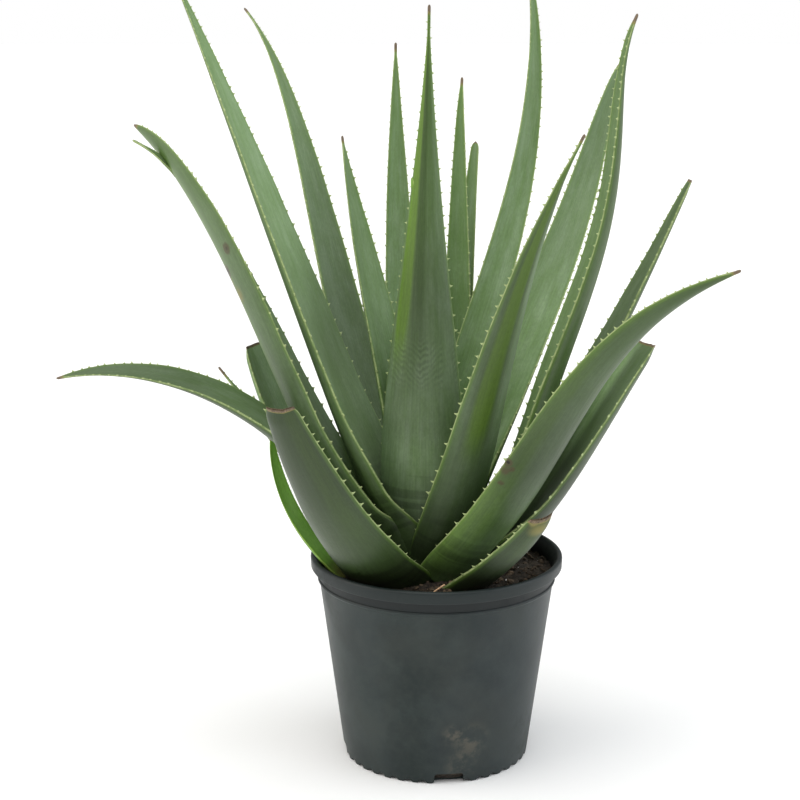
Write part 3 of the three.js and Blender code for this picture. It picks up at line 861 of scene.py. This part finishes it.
def addBlade(bm, leaf, index, layers):
    frames = spineOf(leaf)
    span = leaf["length"] * leaf.get("cut", 1)
    rows = rowsOf(leaf)
    sections = [crossSection(leaf, frames, u, index) for u, fullness, beyond in rows]
    made = bmesh.ops.create_grid(bm, x_segments=rosette["around"], y_segments=len(rows) - 1, size=0.5)
    verts = made["verts"]
    dryEnd = leaf.get("dryEnd", rosette["dryCut"] if "cut" in leaf else leaf["length"] * rosette["dryTip"])
    printStart, printEnd, printStrength = leaf.get("imprint", (0.3, 0.5, 0))
    ease = rosette["imprintEase"]
    for vertex in verts:
        angle = 2 * math.pi * (vertex.co.x + 0.5)
        place = round((vertex.co.y + 0.5) * (len(rows) - 1))
        u, fullness, beyond = rows[place]
        row = sections[place]
        t, s, isFace = row["t"], math.cos(angle), angle < math.pi
        left = (1 - u) * span  # millimetres to the end
        point = sectionPoint(leaf, row, angle, index, fullness)
        if "cut" in leaf:
            shrink = rosette["cutShrink"] * (1 - smooth(0, rosette["cutShrinkOver"], left))
            point = point.lerp(row["at"], shrink)
            uneven = rosette["cutUneven"] * noise.noise(Vector((s * 3, index * 2.2, 1)))
            uneven += leaf.get("horn", 0) * s
            point += row["run"] * (uneven * (1 - smooth(0, rosette["cutUnevenOver"], left)) + beyond)
        elif u == 1:
            point = row["at"]
        vertex.co = point * mm
        sheet = index + 0.5 * (angle > math.pi)
        dry = 1 - smooth(0, dryEnd, left) if dryEnd else 0
        printed = smooth(printStart, printStart + ease, t) * (1 - smooth(printEnd - ease, printEnd, t))
        vertex[layers["skin"]] = Vector((s * leaf["width"] / 2 * mm, t * leaf["length"] * mm, sheet))
        vertex[layers["along"]] = t
        vertex[layers["stain"]] = Vector((
            max(dry, worstMark(leaf, leaf.get("dryMarks", ()), t, s)),
            worstMark(leaf, leaf.get("scars", ()), t, s),
            0,
        ))
        vertex[layers["hue"]] = hueAndPaintedShadeAt(leaf, t, s, isFace)
        vertex[layers["edge"]] = (1 - abs(s)) * row["half"]
        vertex[layers["imprint"]] = 0 if isFace else printStrength * printed
    bmesh.ops.remove_doubles(bm, verts=verts, dist=1e-6)
    return frames


def makeLeaf(leaf, index, material):
    bm = bmesh.new()
    layers = {name: bm.verts.layers.float_vector.new(name) for name in ("skin", "stain", "hue")}
    for name in ("along", "edge", "imprint"):
        layers[name] = bm.verts.layers.float.new(name)
    frames = addBlade(bm, leaf, index, layers)
    blades = [(leaf, frames)]
    if "fork" in leaf:
        fork = leaf["fork"]
        prong = dict(fork, root=frameAt(frames, fork["start"])[1], out=leaf["out"], wrap=0)
        blades.append((prong, addBlade(bm, prong, index, layers)))
    bmesh.ops.recalc_face_normals(bm, faces=bm.faces)
    for blade, bladeFrames in blades:
        addTeeth(bm, blade, bladeFrames, index, layers)
    finishPiece(leaf["node"] + "_skin", bm, material, [leaf["node"]])


for leafIndex, leafValues in enumerate(leaves):
    isPup = leafValues["node"] == "pup_leaf"
    makeLeaf(leafValues, leafIndex, pupMaterial if isPup else leafMaterial)
print("aloe: leaves grown", len(leaves))


pot = {
    "height": 194,
    "rimRadius": 117.5,
    "wallTopRadius": 111,
    "footRadius": 87,
    "wall": 1.8,
    "floor": 2.4,
    "lipDrop": 12,
    "beadDrop": 21,
    "beadHeight": 3.5,
    "beadBulge": 1.6,
    "steps": 240,
    "feet": 40,
    "scallop": 2.4,
    "drains": 4,
    "drainWidth": 27,
    "drainHeight": 10,
    "drainDepth": 26,
    "drainRound": 3,
    "firstDrain": 277,
    "sharpFrom": 35,
}
wallSlope = (pot["wallTopRadius"] - pot["footRadius"]) / (pot["height"] - pot["lipDrop"])


def outsideAt(z):
    return pot["footRadius"] + wallSlope * z


def insideAt(z):
    return outsideAt(z) - pot["wall"]


def potProfile():
    top = pot["height"]
    rim = pot["rimRadius"]
    lipFoot = top - pot["lipDrop"]
    beadMiddle = top - pot["beadDrop"] - pot["beadHeight"] / 2
    inner = lipFoot - pot["wall"]
    wallLines = [(outsideAt(z), z) for z in (3, 9, 40, 80, 120, beadMiddle - 3)]
    bead = []
    for angle in range(-75, 76, 30):
        bulge = pot["beadBulge"] * math.cos(math.radians(angle))
        rise = pot["beadHeight"] / 2 * math.sin(math.radians(angle))
        bead.append((outsideAt(beadMiddle) + bulge, beadMiddle + rise))
    lip = [(rim - 2.4, lipFoot + 0.2), (rim - 1.1, lipFoot + 0.5), (rim - 0.3, lipFoot + 1.6)]
    lip += arc((rim - 2.6, top - 2.6), 2.6, 0, 165, 9)
    inside = [(insideAt(lipFoot) + 0.6, top - 5.5), (insideAt(inner), inner)]
    inside += [(insideAt(z), z) for z in (120, 60, pot["floor"] + 5)]
    base = [(insideAt(pot["floor"]) - 4, pot["floor"]), (40, pot["floor"]), (0, pot["floor"])]
    foot = pot["footRadius"]
    start = [(0, 0), (40, 0), (foot - 8, 0), (foot - 2.5, 0), (foot, 0.4)]
    groove = [(outsideAt(beadMiddle + 3), beadMiddle + 3), (outsideAt(lipFoot - 1.5), lipFoot - 1.5)]
    return start + wallLines + bead + groove + lip + inside + base


def scallopFoot(bm):  # the outer edge of the foot is raised between small feet
    for vertex in bm.verts:
        radius = math.hypot(vertex.co.x, vertex.co.y) / mm
        if vertex.co.z < 0.001 and radius > pot["footRadius"] - 4:
            angle = math.atan2(vertex.co.y, vertex.co.x)
            wave = 0.5 + 0.5 * math.cos(angle * pot["feet"])
            vertex.co.z += pot["scallop"] * mm * smooth(0.25, 0.75, wave)


def cutDrains(piece):
    for i in range(pot["drains"]):
        bm = bmesh.new()
        made = bmesh.ops.create_cube(bm, size=1)
        extent = (pot["drainDepth"] * mm, pot["drainWidth"] * mm, 2 * pot["drainHeight"] * mm)
        bmesh.ops.scale(bm, verts=made["verts"], vec=extent)
        through = [e for e in bm.edges if abs(e.verts[0].co.x - e.verts[1].co.x) > 0.01]
        bmesh.ops.bevel(
            bm,
            geom=through,
            offset=pot["drainRound"] * mm,
            segments=4,
            affect="EDGES",
            profile=0.5,
            material=-1,
        )
        bmesh.ops.translate(bm, verts=bm.verts, vec=((pot["footRadius"] + 4) * mm, 0, 0))
        turn = Matrix.Rotation(math.radians(pot["firstDrain"] + i * 360 / pot["drains"]), 3, "Z")
        bmesh.ops.rotate(bm, verts=bm.verts, cent=(0, 0, 0), matrix=turn)
        cutterMesh = bpy.data.meshes.new("drainCutter")
        bm.to_mesh(cutterMesh)
        bm.free()
        cutter = bpy.data.objects.new("drainCutter", cutterMesh)
        bpy.context.scene.collection.objects.link(cutter)
        boolean = piece.modifiers.new("drain", "BOOLEAN")
        boolean.object = cutter
        boolean.solver = "EXACT"
        bpy.context.view_layer.update()
        graph = bpy.context.evaluated_depsgraph_get()
        carved = bpy.data.meshes.new_from_object(piece.evaluated_get(graph))
        piece.modifiers.clear()
        piece.data = carved
        bpy.data.objects.remove(cutter)


potLook = {
    "dark": (0.006, 0.014, 0.013),
    "worn": (0.018, 0.029, 0.027),
    "streak": (0.016, 0.024, 0.028),
    "dust": (0.075, 0.08, 0.07),
    "dustAmount": 0.3,
    "splash": (0.085, 0.08, 0.062),
    "splashes": (((24, -90, 18), 22), ((32, -92, 42), 24), ((14, -92, 50), 14)),
    "lip": (0.006, 0.011, 0.011),
    "lipFrom": (170, 174),  # the heights over which its colour sets in
    "lipStrength": 0.75,
    "groove": (0.002, 0.004, 0.005),
    "grooveTo": (181, 183),  # the heights over which its colour, a painted shade in the groove under the lip, ends
    "grooveShadeStrength": 0.6,
}


def makePotMaterial():
    material, tree, shader, bumpNode = newMaterial("dustyPotPlastic", 0.5, 0.35, 0.25, 0.0004)
    coordinates = objectPlace(tree)
    blotches = rangeNode(tree, noiseNode(tree, coordinates, 22, 5, 0.6), 0.35, 0.7)
    streaks = rangeNode(tree, noiseNode(tree, coordinates, 9, 3, 0.5, (1, 1, 0.35)), 0.4, 0.7, 0.0, 0.5)
    colour = mixColour(tree, blotches, potLook["dark"], potLook["worn"])
    colour = mixColour(tree, streaks, colour, potLook["streak"])
    dusty = addDust(tree, colour, potLook["dust"], potLook["dustAmount"], coordinates)
    colour = dusty.outputs["Colour"]
    ragged = rangeNode(tree, noiseNode(tree, coordinates, 55, 5, 0.65), 0.42, 0.6)
    for place, size in potLook["splashes"]:  # dry splashes of the mix on the wall, in millimetres
        away = addNode(tree, "ShaderNodeVectorMath", operation="DISTANCE")
        link(tree, coordinates, away.inputs[0])
        away.inputs[1].default_value = [v * mm for v in place]
        near = rangeNode(tree, away.outputs["Value"], 0.0, size * mm, 1.0, 0.0)
        colour = mixColour(tree, times(tree, near, ragged), colour, potLook["splash"])
    height = times(tree, splitVector(tree, coordinates)[2], 1 / mm)
    isLip = rangeNode(tree, height, *potLook["lipFrom"])
    inGrooveShade = times(tree, isLip, rangeNode(tree, height, *potLook["grooveTo"], 1.0, 0.0))
    colour = mixColour(tree, times(tree, isLip, potLook["lipStrength"]), colour, potLook["lip"])
    # the groove under the lip is painted darker, as painted shade in the recess
    colour = mixColour(tree, times(tree, inGrooveShade, potLook["grooveShadeStrength"]), colour, potLook["groove"])
    link(tree, colour, shader.inputs["Base Color"])
    link(tree, rangeNode(tree, dusty.outputs["Mask"], 0.0, 0.4, 0.45, 0.72), shader.inputs["Roughness"])
    addGrain(tree, bumpNode, 90.0, 700.0, coordinates)
    return material


def makePot():
    bm = bmesh.new()
    spinProfile(bm, potProfile(), pot["steps"])
    scallopFoot(bm)
    piece = finishPiece("grower_pot", bm, makePotMaterial(), ["pot"])
    cutDrains(piece)
    piece.data.set_sharp_from_angle(angle=math.radians(pot["sharpFrom"]))


makePot()
print("aloe: pot turned")


mix = {
    "level": 178,
    "mound": 9,
    "lump": 2.6,
    "edge": 0.3,
    "steps": 150,
    "rings": 56,
    "crumb": 1.5,
    "moundSpread": 48,
    "dust": (0.2, 0.18, 0.15),
    "dustAmount": 0.25,
    "toneLift": 1.9,
}
mixRadius = insideAt(mix["level"]) - mix["edge"]

# loose pieces that lie on the mix: how many, their sizes, how flat they are and how far they stand up
litter = [
    dict(name="bark_chips", seed=5, count=900, sizes=(2.0, 7.5), flatten=0.45, rise=0.25,
         material="barkChips", dark=(0.02, 0.014, 0.009), light=(0.085, 0.06, 0.038)),
    dict(name="bark_lumps", seed=7, count=60, sizes=(6, 13), flatten=0.4, rise=0.6,
         material="barkLumps", dark=(0.022, 0.015, 0.009), light=(0.13, 0.09, 0.055)),
    dict(name="perlite_grains", seed=6, count=46, sizes=(1.2, 2.6), flatten=0.9, rise=0.7,
         material="perlite", dark=(0.38, 0.36, 0.33), light=(0.55, 0.53, 0.5)),
]
straws = [
    dict(name="straw_long", start=(-14, -103, 183.5), end=(16, -104, 183), thick=2.2, sag=0.6, seed=3),
    dict(name="straw_short", start=(-8, -92, 182), end=(6, -84, 190), thick=1.5, sag=0.8, seed=4),
]
strawSteps = 8


def mixHeight(x, y):
    away = math.hypot(x - rosette["axis"][0], y - rosette["axis"][1])
    rise = mix["mound"] * math.exp(-((away / mix["moundSpread"]) ** 2))
    lumps = math.sin(x * 0.31 + 1.3) * math.cos(y * 0.27 - 0.4) + 0.8 * math.sin(x * 0.13 - y * 0.38)
    return mix["level"] + rise + mix["lump"] * lumps / 1.8


def makeEarthMaterial(name, dark, light):
    material, tree, shader, bumpNode = newMaterial(name, 0.95, 0.25, 0.9, 0.002)
    coordinates = objectPlace(tree)
    fibres = noiseNode(tree, coordinates, 260, 5, 0.65)
    colour = mixColour(tree, rangeNode(tree, fibres, 0.38, 0.68), dark, light)
    tone = rangeNode(tree, attribute(tree, "tone").outputs["Fac"], 0.0, 1.0, 0.0, 0.7)
    colour = mixColour(tree, tone, colour, tuple(v * mix["toneLift"] for v in light))
    dusty = addDust(tree, colour, mix["dust"], mix["dustAmount"], coordinates)
    link(tree, dusty.outputs["Colour"], shader.inputs["Base Color"])
    addGrain(tree, bumpNode, 180.0, 900.0, coordinates)
    return material


def makeMixBed(material):
    bm = bmesh.new()
    toneLayer = bm.verts.layers.float.new("tone")
    low = pot["floor"] + mix["edge"]
    lowRadius = insideAt(low) - mix["edge"]
    profile = [(0, low), (lowRadius - 5, low), (lowRadius, low + 6), (mixRadius, mix["level"] - 2)]
    profile += [(mixRadius * (1 - i / mix["rings"]), mix["level"]) for i in range(mix["rings"] + 1)]
    spinProfile(bm, profile, mix["steps"])
    for vertex in bm.verts:
        x, y, z = (v / mm for v in vertex.co)
        if z > mix["level"] - 0.5:
            crumb = noise.fractal(Vector((x * 0.12, y * 0.12, 3)), 0.7, 2.1, 5)
            inner = smooth(0, 4, mixRadius - math.hypot(x, y))
            vertex.co.z = (mixHeight(x, y) + mix["crumb"] * crumb * inner) * mm
            vertex[toneLayer] = 0.15 * max(crumb, 0)
    finishPiece("mix_bed", bm, material, ["soil"])


def scatter(values):
    dice = random.Random(values["seed"])
    bm = bmesh.new()
    toneLayer = bm.verts.layers.float.new("tone")
    for _ in range(values["count"]):
        distance = mixRadius * math.sqrt(dice.uniform(0.12, 0.97))
        angle = dice.uniform(0, 2 * math.pi)
        x, y = distance * math.cos(angle), distance * math.sin(angle)
        size = dice.uniform(*values["sizes"]) * dice.uniform(0.5, 1)
        made = bmesh.ops.create_icosphere(bm, subdivisions=1, radius=1)
        verts = made["verts"]
        for vertex in verts:
            vertex.co *= dice.uniform(0.7, 1.25)
        tone = dice.random() ** 2
        flat = size * values["flatten"]
        stretch = (size, size * dice.uniform(0.35, 0.9), flat * dice.uniform(0.6, 1.2))
        bmesh.ops.scale(bm, verts=verts, vec=[v * mm / 1.6 for v in stretch])
        tilt = Matrix.Rotation(dice.uniform(-0.7, 0.7), 3, "X")
        tilt @= Matrix.Rotation(dice.uniform(-0.7, 0.7), 3, "Y")
        turn = Matrix.Rotation(dice.uniform(0, 2 * math.pi), 3, "Z") @ tilt
        bmesh.ops.rotate(bm, verts=verts, cent=(0, 0, 0), matrix=turn)
        height = mixHeight(x, y) + flat * values["rise"]
        bmesh.ops.translate(bm, verts=verts, vec=(x * mm, y * mm, height * mm))
        for vertex in verts:
            vertex[toneLayer] = tone
    material = makeEarthMaterial(values["material"], values["dark"], values["light"])
    finishPiece(values["name"], bm, material, flat=True)


def makeStraw(values, material):  # a short dry stalk from one point to another
    dice = random.Random(values["seed"])
    bm = bmesh.new()
    toneLayer = bm.verts.layers.float.new("tone")
    way = Vector(values["end"]) - Vector(values["start"])
    bmesh.ops.create_circle(bm, cap_ends=True, segments=8, radius=values["thick"] / 2 * mm)
    ring = list(bm.faces)
    length = way.length
    for _ in range(strawSteps):
        made = bmesh.ops.extrude_face_region(bm, geom=ring)
        ring = [f for f in made["geom"] if isinstance(f, bmesh.types.BMFace)]
        verts = [v for v in made["geom"] if isinstance(v, bmesh.types.BMVert)]
        step = (dice.uniform(-0.2, 0.2) * mm, dice.uniform(-0.2, 0.2) * mm, length / strawSteps * mm)
        bmesh.ops.translate(bm, verts=verts, vec=step)
        centre = sum((v.co for v in verts), Vector()) / len(verts)
        spread = Matrix.Diagonal((dice.uniform(0.88, 1.08), dice.uniform(0.88, 1.08), 1, 1))
        bmesh.ops.transform(bm, matrix=spread, space=Matrix.Translation(-centre), verts=verts)
    for vertex in bm.verts:
        vertex.co.x += values["sag"] * mm * math.sin(math.pi * vertex.co.z / (length * mm))
        vertex[toneLayer] = 1.0
    place = Matrix.Translation(Vector(values["start"]) * mm)
    place @= way.to_track_quat("Z", "X").to_matrix().to_4x4()
    bmesh.ops.transform(bm, matrix=place, verts=bm.verts)
    bmesh.ops.recalc_face_normals(bm, faces=bm.faces)
    finishPiece(values["name"], bm, material)


makeMixBed(makeEarthMaterial("pottingMix", (0.012, 0.009, 0.007), (0.05, 0.036, 0.024)))
for litterValues in litter:
    scatter(litterValues)
strawMaterial = makeEarthMaterial("dryStraw", (0.3, 0.17, 0.09), (0.42, 0.27, 0.16))
for strawValues in straws:
    makeStraw(strawValues, strawMaterial)
print("aloe: potting mix filled in")


stem = {
    "radius": 21,
    "topRadius": 12,
    "bottom": 96,
    "top": 232,
    "steps": 64,
    "rings": 24,
    "ringDepth": 0.5,
    "ringsBelowMix": 40,
    "ringsAboveMix": 14,
    "dark": (0.16, 0.14, 0.06),
    "light": (0.3, 0.27, 0.13),
}


def makeStem():
    bm = bmesh.new()
    bm.verts.layers.float.new("tone")
    radius, bottom = stem["radius"], stem["bottom"]
    profile = [(0, bottom), (radius * 0.7, bottom), (radius, bottom + 14)]
    low, high = mix["level"] - stem["ringsBelowMix"], mix["level"] + stem["ringsAboveMix"]
    for i in range(stem["rings"]):  # every third ring is sunk a little, as an old leaf's scar is
        z = lerp(low, high, i / (stem["rings"] - 1))
        profile.append((radius - stem["ringDepth"] * (i % 3 == 0), z))
    profile += [(stem["topRadius"], stem["top"] - 6), (0, stem["top"])]
    spinProfile(bm, profile, stem["steps"])
    bmesh.ops.translate(bm, verts=bm.verts, vec=(rosette["axis"][0] * mm, rosette["axis"][1] * mm, 0))
    material = makeEarthMaterial("fibrousStem", stem["dark"], stem["light"])
    finishPiece("stem_core", bm, material, ["stem"])


makeStem()
print("aloe: stem made")


studio = {
    "floorSize": 60,
    "floorColour": (0.96, 0.96, 0.96),
    "floorRoughness": 0.9,
    "ambient": 0.36,
}
# wide soft panels, each given by where it shines from: heading and height in degrees, and its width
panels = [
    dict(name="frontPanel", heading=262, height=60, spread=60, power=1.15, colour=(1.0, 1.0, 0.99)),
    dict(name="topPanel", heading=110, height=74, spread=70, power=1.0, colour=(1.0, 1.0, 0.99)),
    dict(name="leftPanel", heading=188, height=24, spread=65, power=1.5, colour=(1.0, 0.96, 0.89)),
    dict(name="rightPanel", heading=355, height=22, spread=65, power=1.5, colour=(0.9, 0.95, 1.0)),
]


def makeStudio():
    bm = bmesh.new()
    bmesh.ops.create_grid(bm, x_segments=1, y_segments=1, size=studio["floorSize"] / 2)
    mesh = bpy.data.meshes.new("floor")
    bm.to_mesh(mesh)
    bm.free()
    material = bpy.data.materials.new("paleFloor")
    material.use_nodes = True
    shader = material.node_tree.nodes["Principled BSDF"]
    shader.inputs["Base Color"].default_value = (*studio["floorColour"], 1)
    shader.inputs["Roughness"].default_value = studio["floorRoughness"]
    mesh.materials.append(material)
    floor = bpy.data.objects.new("floor", mesh)
    bpy.context.scene.collection.objects.link(floor)
    world = bpy.data.worlds.new("studioWorld")
    world.use_nodes = True
    tree = world.node_tree
    path = addNode(tree, "ShaderNodeLightPath")  # the backdrop is white to the camera and dimmer as light
    dim = minus(tree, 1.0, studio["ambient"])
    backdrop = times(tree, path.outputs["Is Camera Ray"], dim)
    strength = plus(tree, backdrop, studio["ambient"])
    link(tree, strength, tree.nodes["Background"].inputs["Strength"])
    tree.nodes["Background"].inputs["Color"].default_value = (1, 1, 1, 1)
    bpy.context.scene.world = world
    for values in panels:
        data = bpy.data.lights.new(values["name"], "SUN")
        data.angle = math.radians(values["spread"])
        data.energy = values["power"]
        data.color = values["colour"]
        lamp = bpy.data.objects.new(values["name"], data)
        lamp.rotation_euler = (0, math.radians(90 - values["height"]), math.radians(values["heading"]))
        bpy.context.scene.collection.objects.link(lamp)
    bpy.context.scene.view_settings.view_transform = "Standard"


makeStudio()
print("aloe: studio lit")
